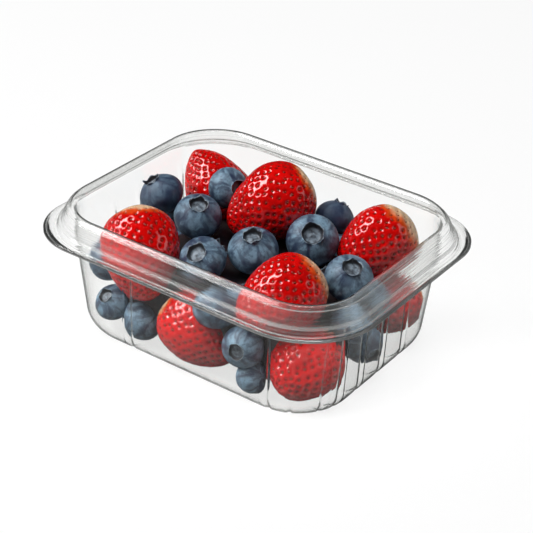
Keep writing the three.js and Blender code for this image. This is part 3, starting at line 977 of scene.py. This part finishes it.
def blueberry_copy(shape, loose, draw, tray):
    """Points and per-point values of one blueberry with its crown along the axis."""
    radius = loose.berry.width / 2
    rows = np.arccos(np.clip(shape.points[:, 2], -1, 1)) / math.pi
    angle = np.arctan2(shape.points[:, 1], shape.points[:, 0])
    ring, height, lobe_height, lobe_lean = crown_profile(rows)
    first = draw.uniform(0, FULL_TURN)
    lobe = np.zeros(len(rows))
    for index in range(CROWN_LOBES):
        middle = first + (index + draw.uniform(-LOBE_DRIFT, LOBE_DRIFT)) * FULL_TURN / CROWN_LOBES
        away = np.abs((angle - middle + math.pi) % FULL_TURN - math.pi)
        share = np.clip(1 - away / (FULL_TURN / CROWN_LOBES / 2 * LOBE_OVERLAP), 0, 1)
        lobe = np.maximum(lobe, share * draw.uniform(*LOBE_GROWTH))
    torn = draw.uniform(-NOISE_REACH, NOISE_REACH)
    tears = np.array([
        noise.noise(Vector((torn, TEAR_SCALE * math.cos(a), TEAR_SCALE * math.sin(a))))
        for a in angle
    ])
    lobe = np.maximum(lobe + LOBE_TEAR * tears, 0)
    opening = draw.uniform(*OPENING)
    near_crown = 1 - smooth_step(CROWN_ROWS[-1][0], OPENING_REACH, rows)
    ring = ring * (1 + (opening - 1) * near_crown) + LOBE_LEAN * lobe * lobe_lean
    height = height + LOBE_HEIGHT * lobe * lobe_height
    points = np.column_stack((ring * np.cos(angle), ring * np.sin(angle), height))
    place = far_place(draw)
    lumps = np.array([noise.noise(Vector(point) * BERRY_LUMP_SCALE + place) for point in points])
    points *= (radius * (1 + BERRY_LUMP * lumps))[:, None]
    points[:, 2] += radius * (1 - FLATTENING) * FLAT_SHIFT
    values = {
        "crown": band(*CROWN_BAND, rows),
        "cup": 1 - smooth_step(*CUP_ENDS, rows),
        "brim": 1 - smooth_step(*BRIM_ENDS, rows),
        "lip": band(*LIP_BAND, rows),
        "bare": np.full(len(rows), loose.berry.bare),
        "flow": np.column_stack((np.cos(angle), np.sin(angle), rows * FLOW_LENGTH)) + np.array(place),
    }
    points = points @ turned(loose.axis, 0) + np.array(loose.middle)
    return pressed_in(points, tray), values


# ---- shader building ----

def new_material(name):
    """A node material, its tree and its Principled shader."""
    material = bpy.data.materials.new(name)
    material.use_nodes = True
    return material, material.node_tree, material.node_tree.nodes["Principled BSDF"]


def feed(tree, node, **inputs):
    """Sets a node's inputs, by name or by number as n0, and links those given as sockets."""
    for key, value in inputs.items():
        name = key.replace("_", " ")
        socket = node.inputs[int(name[1:]) if name[1:].isdigit() else name]
        if isinstance(value, bpy.types.NodeSocket):
            tree.links.new(value, socket)
        else:
            socket.default_value = value
    return node


def add_node(tree, kind, settings=None, **inputs):
    """Adds a node, and sets its properties and its inputs."""
    made = tree.nodes.new(kind)
    for key, value in (settings or {}).items():
        setattr(made, key, value)
    return feed(tree, made, **inputs)


def attribute(tree, name, output="Fac"):
    """The value of a per-point number, or its vector."""
    return add_node(tree, "ShaderNodeAttribute", {"attribute_name": name}).outputs[output]


def blend(tree, share, first, second):
    """A colour between two, by a share."""
    mix = add_node(tree, "ShaderNodeMix", {"data_type": "RGBA"}, n0=share, n6=first, n7=second)
    return mix.outputs[2]


def dimmed(tone, share):
    """A darker shade of a colour."""
    return [c * share for c in tone[:3]] + [1.0]


def math_node(tree, operation, first, second=0.0):
    """A sum, product or other result of two numbers."""
    return add_node(tree, "ShaderNodeMath", {"operation": operation}, n0=first, n1=second).outputs[0]


def scaled(tree, value, factor):
    """A number times another."""
    return math_node(tree, "MULTIPLY", value, factor)


def ramp(tree, value, low, high):
    """How far a number is from low to high, kept between 0 and 1."""
    made = add_node(tree, "ShaderNodeMapRange", None, Value=value, From_Min=low, From_Max=high)
    return made.outputs[0]


def clamped(tree, value):
    """A number kept between 0 and 1."""
    return add_node(tree, "ShaderNodeClamp", None, Value=value).outputs[0]


def group_of(name, inputs, output, output_kind):
    """A new shader node group with named inputs and one output, and its two ends."""
    group = bpy.data.node_groups.new(name, "ShaderNodeTree")
    group.interface.new_socket("Place", in_out="INPUT", socket_type="NodeSocketVector")
    for label, default in inputs.items():
        socket = group.interface.new_socket(label, in_out="INPUT", socket_type="NodeSocketFloat")
        socket.default_value = default
    group.interface.new_socket(output, in_out="OUTPUT", socket_type=output_kind)
    return group, group.nodes.new("NodeGroupInput").outputs, group.nodes.new("NodeGroupOutput")


@functools.lru_cache(maxsize=1)
def mottle_group():
    """A cloudy mask: 0 below Low, 1 above High."""
    inputs = {"Scale": 200.0, "Detail": 3.0, "Stretch": 1.0, "Low": 0.4, "High": 0.6}
    group, given, end = group_of("Mottle", inputs, "Mask", "NodeSocketFloat")
    cloud = add_node(group, "ShaderNodeTexNoise", None, Vector=given["Place"],
                     Scale=given["Scale"], Detail=given["Detail"], Distortion=given["Stretch"])
    mask = add_node(group, "ShaderNodeMapRange", {"interpolation_type": "SMOOTHSTEP"},
                    Value=cloud.outputs["Fac"], From_Min=given["Low"], From_Max=given["High"])
    feed(group, end, Mask=mask.outputs["Result"])
    return group


@functools.lru_cache(maxsize=1)
def relief_group():
    """Small cloudy relief as a bumped normal. Depth is in metres."""
    inputs = {"Scale": 800.0, "Detail": 2.0, "Strength": 0.3, "Depth": 0.0002}
    group, given, end = group_of("Relief", inputs, "Normal", "NodeSocketVector")
    cloud = add_node(group, "ShaderNodeTexNoise", None, Vector=given["Place"],
                     Scale=given["Scale"], Detail=given["Detail"])
    bump = add_node(group, "ShaderNodeBump", None, Height=cloud.outputs["Fac"],
                    Strength=given["Strength"], Distance=given["Depth"])
    feed(group, end, Normal=bump.outputs["Normal"])
    return group


def in_metres(tree):
    """Places on the piece."""
    return add_node(tree, "ShaderNodeTexCoord").outputs["Object"]


def mottle(tree, cloud, place=None):
    """A cloudy mask in a material."""
    made = add_node(tree, "ShaderNodeGroup", {"node_tree": mottle_group()}, Scale=cloud.scale,
                    Low=cloud.low, High=cloud.high, Detail=cloud.detail, Stretch=cloud.stretch,
                    Place=place or in_metres(tree))
    return made.outputs["Mask"]


def relief(tree, grain, place=None):
    """A bumped normal in a material."""
    made = add_node(tree, "ShaderNodeGroup", {"node_tree": relief_group()}, Scale=grain.scale,
                    Strength=grain.strength, Depth=grain.depth, Detail=grain.detail,
                    Place=place or in_metres(tree))
    return made.outputs["Normal"]


# ---- materials ----

def along_rim(tree, drawn):
    """Places drawn out along the rim and up the walls, so that a cloud on them makes streaks."""
    down = attribute(tree, "down")
    change = scaled(tree, math_node(tree, "GREATER_THAN", down, ON_RIM), drawn.rim - drawn.wall)
    plan = add_node(tree, "ShaderNodeVectorMath", {"operation": "MULTIPLY"}, n0=in_metres(tree),
                    n1=(1.0, 1.0, 0.0))
    spread = add_node(tree, "ShaderNodeVectorMath", {"operation": "SCALE"}, n0=plan.outputs[0],
                      Scale=math_node(tree, "ADD", change, drawn.wall))
    drop = add_node(tree, "ShaderNodeCombineXYZ", None, Z=scaled(tree, down, drawn.down))
    moved = add_node(tree, "ShaderNodeVectorMath", {"operation": "ADD"}, n0=spread.outputs[0],
                     n1=drop.outputs[0])
    return moved.outputs[0]


def clear_sheet_material(tray):
    """Glossy clear sheet with faint drawing ripples, which lets light through to the fruit."""
    material, tree, shader = new_material("clear_sheet")
    feed(tree, shader, Base_Color=tray.tint, Roughness=0.03, IOR=1.38, Transmission_Weight=1.0,
         Normal=relief(tree, SHEET_RIPPLES, along_rim(tree, RIPPLE_RUN)))
    passing = add_node(tree, "ShaderNodeBsdfTransparent", None, Color=tray.tint)
    mix = add_node(tree, "ShaderNodeMixShader", None, n1=shader.outputs[0], n2=passing.outputs[0],
                   Fac=add_node(tree, "ShaderNodeLightPath").outputs["Is Shadow Ray"])
    feed(tree, tree.nodes["Material Output"], Surface=mix.outputs[0])
    return material


def rim_haze_and_highlight_material():
    """The milky veil, partly haze and partly painted reflection; fine pale streaks on the rim;
    painted highlights where the sheet bends; and the sheet's whitish cut edge.
    """
    material, tree, shader = new_material("rim_haze_and_highlights")
    fine = mottle(tree, FINE_STREAKS, along_rim(tree, STREAK_RUN))
    opacity = math_node(tree, "ADD", scaled(tree, fine, STREAK_OPACITY), FILM_OPACITY)
    down = attribute(tree, "down")
    # painted highlights: bright lines where the sheet bends
    for place, half_width, strength in RIM_HIGHLIGHT_LINES:
        line = add_node(tree, "ShaderNodeMath", {"operation": "COMPARE"}, n0=down, n1=place,
                        n2=half_width).outputs[0]
        opacity = math_node(tree, "ADD", opacity, scaled(tree, line, strength))
    # milky veil, partly haze and partly painted reflection
    veil = scaled(tree, mottle(tree, HAZE_AND_REFLECTION_VEIL, along_rim(tree, VEIL_RUN)), 1 - LEAST_VEIL)
    uneven = math_node(tree, "ADD", veil, LEAST_VEIL)
    feed(tree, shader, Base_Color=FILM_TONE, Roughness=0.4, Alpha=scaled(tree, opacity, uneven))
    return material


def strawberry_material(fruit):
    """Wet red skin, with painted shade darkening the pits, and pale round the leafy end."""
    material, tree, shader = new_material("strawberry_skin")
    red = blend(tree, mottle(tree, RIPE_PATCHES), tuple(fruit.red), dimmed(fruit.red, DULL_RED))
    uneven = scaled(tree, mottle(tree, RIPENING), RIPENESS_LOSS)
    ripeness = math_node(tree, "SUBTRACT", scaled(tree, attribute(tree, "ripe"), RIPENESS), uneven)
    skin = blend(tree, ramp(tree, ripeness, *TO_ORANGE), tuple(fruit.pale), ORANGE)
    reddened = ramp(tree, ripeness, *TO_RED)
    skin = blend(tree, reddened, skin, red)
    # painted shade: the pits darkened towards their middles
    deep = math_node(tree, "POWER", attribute(tree, "pit"), PIT_SHARPNESS)
    skin = blend(tree, scaled(tree, deep, reddened), skin, tuple(fruit.pit_shade_red))
    flesh = blend(tree, mottle(tree, FLESH_GRAIN), *FLESH)
    skin = blend(tree, attribute(tree, "hull"), skin, flesh)
    feed(tree, shader, Base_Color=skin, Normal=relief(tree, RED_SKIN), Roughness=0.08,
         Specular_IOR_Level=0.75, Subsurface_Weight=0.1, Subsurface_Radius=(1.0, 0.12, 0.08),
         Subsurface_Scale=0.0015)
    return material


def seed_material(fruit):
    """Glossy dark red to straw-coloured seeds."""
    material, tree, shader = new_material("strawberry_seed")
    tone = blend(tree, attribute(tree, "tone"), tuple(fruit.seed), DARK_SEED)
    tone = blend(tree, mottle(tree, SEED_FLECKS), tone, STRAW_SEED)
    feed(tree, shader, Base_Color=tone, Normal=relief(tree, SEED_RIDGES), Roughness=0.15)
    return material


def blueberry_material(fruit):
    """Dark skin under an uneven dusty bloom, with a dark crown: dark tissue and painted shade on its
    cup's inner wall, and pale bloom with a painted highlight in patches on its lip.
    """
    material, tree, shader = new_material("blueberry_skin")
    worn = mottle(tree, WORN_BLOOM, attribute(tree, "flow", "Vector"))
    skin = blend(tree, mottle(tree, THIN_BLOOM), tuple(fruit.bloom), dimmed(fruit.bloom, BLOOM_DIM))
    for bare in (
        scaled(tree, worn, WORN_OFF),
        scaled(tree, mottle(tree, RUBBED_BLOOM), RUBBED_OFF),
        scaled(tree, mottle(tree, BLOOM_SPECKS), SPECKS_OFF),
        scaled(tree, attribute(tree, "brim"), BRIM_OFF),
        attribute(tree, "bare"),
    ):
        skin = blend(tree, bare, skin, tuple(fruit.blue))
    cup = blend(tree, mottle(tree, CUP_GRAIN), *CUP_TONES)
    skin = blend(tree, attribute(tree, "cup"), skin, cup)
    # dark tissue and painted shade on the crown's inner wall
    skin = blend(tree, attribute(tree, "crown"), skin, CROWN_SHADE_TONE)
    # pale patches on the crown's lip: pale bloom, and a painted highlight on the lobes' edges
    pale_lip = scaled(tree, mottle(tree, LIP_PALE_PATCHES), LIP_PALENESS)
    skin = blend(tree, scaled(tree, attribute(tree, "lip"), pale_lip), skin, LIP_TONE)
    dull = math_node(tree, "ADD", scaled(tree, worn, WORN_GLOSS), BLOOM_ROUGHNESS)
    feed(tree, shader, Base_Color=skin, Roughness=dull, Normal=relief(tree, BLUE_SKIN),
         Specular_IOR_Level=0.6)
    return material


def leaf_material(fruit):
    """Matt green leaves, yellower in patches."""
    material, tree, shader = new_material("leaf")
    green = blend(tree, mottle(tree, LEAF_PATCHES), tuple(fruit.leaf), YOUNG_LEAF)
    feed(tree, shader, Base_Color=green, Normal=relief(tree, LEAF_VEINS), Roughness=0.55)
    return material


def shade_core_material():
    """Painted shade between the berries: a dark, dull, mottled body."""
    material, tree, shader = new_material("deep_shade")
    shade = blend(tree, mottle(tree, SHADE_PATCHES), *SHADE_TONES)
    feed(tree, shader, Base_Color=shade, Normal=relief(tree, SHADE_LUMPS), Roughness=0.7)
    return material


def floor_material():
    """Plain pale studio floor, lit from within like a light table."""
    material, tree, shader = new_material("pale_floor")
    path = add_node(tree, "ShaderNodeLightPath").outputs
    bounced = clamped(tree, path["Diffuse Depth"])
    mirroring = clamped(tree, path["Glossy Depth"])
    worn = [c * FLOOR_WORN for c in FLOOR_SEEN]
    pale = blend(tree, mottle(tree, FLOOR_PATCHES), FLOOR_SEEN, worn)
    pale = blend(tree, bounced, pale, FLOOR_LIGHTING)
    mirrored = blend(tree, clamped(tree, path["Transmission Depth"]), FLOOR_MIRRORED,
                     MIRRORED_IN_SHEET)
    pale = blend(tree, mirroring, pale, mirrored)
    glow = blend(tree, math_node(tree, "MAXIMUM", bounced, mirroring), FLOOR_GLOW, (0, 0, 0, 1))
    feed(tree, shader, Base_Color=pale, Emission_Color=glow, Emission_Strength=1.0, Roughness=0.9,
         Specular_IOR_Level=0.0)
    return material


# ---- the pieces ----

class PUNNET_OT_tray(bpy.types.Operator):
    """Forms the clear tray from one sheet"""

    bl_idname = "punnet.tray"
    bl_label = "Clear tray"

    def execute(self, context):
        tray = context.scene.punnet_tray
        bm = skin_over(*tray_rings(tray))
        bottom = min(bm.faces, key=lambda face: face.calc_center_median().length)
        if bottom.normal.z > 0:
            bmesh.ops.reverse_faces(bm, faces=bm.faces[:])
        piece = add_piece("clear_tray", mesh_from("clear_tray", bm), clear_sheet_material(tray),
                          "punnet_tray")
        wall = piece.modifiers.new("Sheet", "SOLIDIFY")
        wall.thickness = tray.sheet
        wall.offset = -1
        return {"FINISHED"}


class PUNNET_OT_streaks(bpy.types.Operator):
    """Draws the film on the rim: fine streaks, a milky veil that is partly painted reflection, and
    painted highlights where the sheet bends
    """

    bl_idname = "punnet.streaks"
    bl_label = "Rim streaks"

    def execute(self, context):
        tray = context.scene.punnet_tray
        path = rim_path(tray.sheet / MM + STREAK_GAP)
        bm = skin_over(rings_along(tray, path), past_rim(path))
        piece = add_piece("rim_haze_and_highlights", mesh_from("rim_haze_and_highlights", bm), rim_haze_and_highlight_material())
        film = piece.modifiers.new("Film", "SOLIDIFY")
        film.thickness = STREAK_FILM * MM
        film.offset = 0
        return {"FINISHED"}


class PUNNET_OT_core(bpy.types.Operator):
    """Fills the middle of the heap with painted shade: a dark body between the berries"""

    bl_idname = "punnet.core"
    bl_label = "Core"

    def execute(self, context):
        rings = [[(0, 0, CORE_RINGS[0][2])] * CORE_COLUMNS]
        for half_x, half_y, height, radius in CORE_RINGS:
            ring = []
            for column in range(CORE_COLUMNS):
                angle = (column + 0.5) * FULL_TURN / CORE_COLUMNS
                way = Vector((math.cos(angle), math.sin(angle)))
                sign_x, sign_y = math.copysign(1, way.x), math.copysign(1, way.y)
                ring.append((sign_x * (half_x - radius) + radius * way.x,
                             sign_y * (half_y - radius) + radius * way.y, height))
            rings.append(ring)
        rings.append([(0, 0, CORE_RINGS[-1][2])] * CORE_COLUMNS)
        bm = skin_over(rings)
        bmesh.ops.bevel(bm, geom=bm.edges[:], offset=CORE_BEVEL, offset_type="OFFSET", segments=2,
                        profile=0.5, affect="EDGES", material=-1, clamp_overlap=True)
        add_piece("shade_core", mesh_from("shade_core", bm), shade_core_material(), "berry_heap")
        return {"FINISHED"}


class PUNNET_OT_strawberries(bpy.types.Operator):
    """Models the strawberries' pitted skins and their seeds"""

    bl_idname = "punnet.strawberries"
    bl_label = "Strawberries"

    def execute(self, context):
        tray = context.scene.punnet_tray
        skin = strawberry_material(context.scene.punnet_fruit)
        forms = strawberry_forms()
        for name, chosen, cuts in (
            ("strawberries_low", forms[:LOW_STRAWBERRIES], LOW_CUTS),
            ("strawberries_top", forms[LOW_STRAWBERRIES:], SHOW_CUTS),
        ):
            shape = ball(cuts)
            copies = [(shape, *form.body(shape, tray)) for form in chosen]
            add_piece(name, joined_mesh(name, copies), skin, "berry_heap")
        shape = seed_shape()
        copies = [copy for form in forms for copy in form.seed_copies(shape, tray)]
        add_piece("strawberry_seeds", joined_mesh("strawberry_seeds", copies),
                  seed_material(context.scene.punnet_fruit), "berry_heap")
        return {"FINISHED"}


class PUNNET_OT_leaves(bpy.types.Operator):
    """Lays the leaves on the strawberries that still have them"""

    bl_idname = "punnet.leaves"
    bl_label = "Leaves"

    def execute(self, context):
        tray = context.scene.punnet_tray
        bm = bmesh.new()
        bmesh.ops.create_grid(bm, x_segments=LEAF_CELLS[0], y_segments=LEAF_CELLS[1], size=1)
        shape = shape_of(bm)
        draw = random.Random(LEAF_DRAWS)
        copies = []
        for form in strawberry_forms():
            if not form.berry.leafy:
                continue
            for index in range(LEAF_COUNT):
                heading = (index + draw.uniform(-LEAF_DRIFT, LEAF_DRIFT)) * FULL_TURN / LEAF_COUNT
                length = LEAF_LENGTH * draw.uniform(*LEAF_GROWTH)
                curl = LEAF_CURL * draw.uniform(*CURL_GROWTH)
                points = leaf_points(form, shape.points, heading, length, curl)
                copies.append((shape, form.placed(points, tray), {}))
        piece = add_piece("strawberry_leaves", joined_mesh("strawberry_leaves", copies),
                          leaf_material(context.scene.punnet_fruit), "berry_heap")
        blade = piece.modifiers.new("Blade", "SOLIDIFY")
        blade.thickness = LEAF_THICKNESS * MM
        blade.offset = 0
        return {"FINISHED"}


class PUNNET_OT_blueberries(bpy.types.Operator):
    """Models the blueberries with their crowns"""

    bl_idname = "punnet.blueberries"
    bl_label = "Blueberries"

    def execute(self, context):
        tray = context.scene.punnet_tray
        shape = banded_ball(BERRY_COLUMNS, BERRY_ROWS)
        copies = []
        for index, loose in enumerate(settled_heap()[len(STRAWBERRIES):]):
            draw = random.Random(BERRY_DRAWS + index)
            copies.append((shape, *blueberry_copy(shape, loose, draw, tray)))
        add_piece("blueberries", joined_mesh("blueberries", copies),
                  blueberry_material(context.scene.punnet_fruit), "berry_heap")
        return {"FINISHED"}


# ---- the stage ----

def add_lamp(lamp, middle):
    """A soft rectangular light turned to the punnet."""
    data = bpy.data.lights.new(lamp.name, "AREA")
    data.shape = "RECTANGLE"
    data.size, data.size_y = lamp.size
    data.energy = lamp.power
    light = bpy.data.objects.new(lamp.name, data)
    bpy.context.scene.collection.objects.link(light)
    way = Vector(lamp.way).normalized()
    light.location = middle + way * lamp.distance
    light.rotation_euler = (-way).to_track_quat("-Z", "Y").to_euler()
    light.visible_diffuse = lamp.lights
    light.visible_glossy = lamp.mirrored


class PUNNET_OT_stage(bpy.types.Operator):
    """Sets up the floor, the lights and the camera"""

    bl_idname = "punnet.stage"
    bl_label = "Stage"

    def execute(self, context):
        stage = context.scene.punnet_stage
        self.add_floor(stage)
        self.add_lights(context)
        self.add_camera(context, stage)
        return {"FINISHED"}

    def add_floor(self, stage):
        """Lays the floor."""
        bm = bmesh.new()
        bmesh.ops.create_grid(bm, x_segments=FLOOR_CELLS, y_segments=FLOOR_CELLS,
                              size=stage.floor_size / 2)
        mesh = bpy.data.meshes.new("floor")
        bm.to_mesh(mesh)
        bm.free()
        mesh.materials.append(floor_material())
        floor = bpy.data.objects.new("floor", mesh)
        bpy.context.scene.collection.objects.link(floor)

    def add_lights(self, context):
        """Sets up the lights and the sky."""
        middle = (CAD_BOX[0] + CAD_BOX[1]) / 2
        for lamp in LAMPS:
            add_lamp(lamp, middle)
        world = bpy.data.worlds.new("Studio")
        world.use_nodes = True
        tree = world.node_tree
        path = add_node(tree, "ShaderNodeLightPath").outputs
        sky = blend(tree, clamped(tree, path["Diffuse Depth"]), SKY_SEEN, SKY_LIGHTING)
        mirrored = blend(tree, clamped(tree, path["Transmission Depth"]), SKY_MIRRORED,
                         MIRRORED_IN_SHEET)
        sky = blend(tree, clamped(tree, path["Glossy Depth"]), sky, mirrored)
        feed(tree, tree.nodes["Background"], Color=sky)
        context.scene.world = world
        context.scene.view_settings.view_transform = "Standard"

    def add_camera(self, context, stage):
        """Stands the camera where it sees the punnet as the settings say."""
        azimuth, elevation, roll = stage.azimuth, stage.elevation, stage.roll
        back = Vector((math.sin(azimuth) * math.cos(elevation),
                       -math.cos(azimuth) * math.cos(elevation), math.sin(elevation)))
        level_right = Vector((math.cos(azimuth), math.sin(azimuth), 0))
        level_up = back.cross(level_right)
        right = level_right * math.cos(roll) + level_up * math.sin(roll)
        up = back.cross(right)
        data = bpy.data.cameras.new("Camera")
        data.lens = stage.lens
        data.sensor_width = SENSOR_WIDTH
        camera = bpy.data.objects.new("Camera", data)
        context.scene.collection.objects.link(camera)
        camera.location = Vector(stage.target) + back * stage.distance
        camera.rotation_euler = Matrix((right, up, back)).transposed().to_euler()
        context.scene.camera = camera


class PUNNET_PT_panel(bpy.types.Panel):
    """Lists the settings and the steps that build the punnet"""

    bl_idname = "PUNNET_PT_panel"
    bl_label = "Punnet of mixed berries"
    bl_space_type = "VIEW_3D"
    bl_region_type = "UI"
    bl_category = "Punnet"

    def draw(self, context):
        scene = context.scene
        for settings in (scene.punnet_tray, scene.punnet_fruit, scene.punnet_stage):
            box = self.layout.box()
            for name in settings.bl_rna.properties.keys():
                if name not in ("rna_type", "name"):
                    box.prop(settings, name)
        for step in STEPS:
            self.layout.operator(step.bl_idname)


STEPS = (PUNNET_OT_tray, PUNNET_OT_streaks, PUNNET_OT_core, PUNNET_OT_strawberries, PUNNET_OT_leaves,
         PUNNET_OT_blueberries, PUNNET_OT_stage)
SETTINGS = {"punnet_tray": TraySettings, "punnet_fruit": FruitSettings,
            "punnet_stage": StageSettings}


def register():
    """Adds the classes and their settings to Blender."""
    for made in (*SETTINGS.values(), *STEPS, PUNNET_PT_panel):
        bpy.utils.register_class(made)
    for name, kind in SETTINGS.items():
        setattr(bpy.types.Scene, name, bpy.props.PointerProperty(type=kind))


def unregister():
    """Takes the settings and the classes out of Blender again."""
    for name in SETTINGS:
        delattr(bpy.types.Scene, name)
    for made in (PUNNET_PT_panel, *reversed(STEPS), *SETTINGS.values()):
        bpy.utils.unregister_class(made)


def main():
    """Builds every piece and the stage."""
    register()
    bpy.ops.punnet.tray()
    bpy.ops.punnet.streaks()
    bpy.ops.punnet.core()
    bpy.ops.punnet.strawberries()
    bpy.ops.punnet.leaves()
    bpy.ops.punnet.blueberries()
    bpy.ops.punnet.stage()


if __name__ == "__main__":
    main()
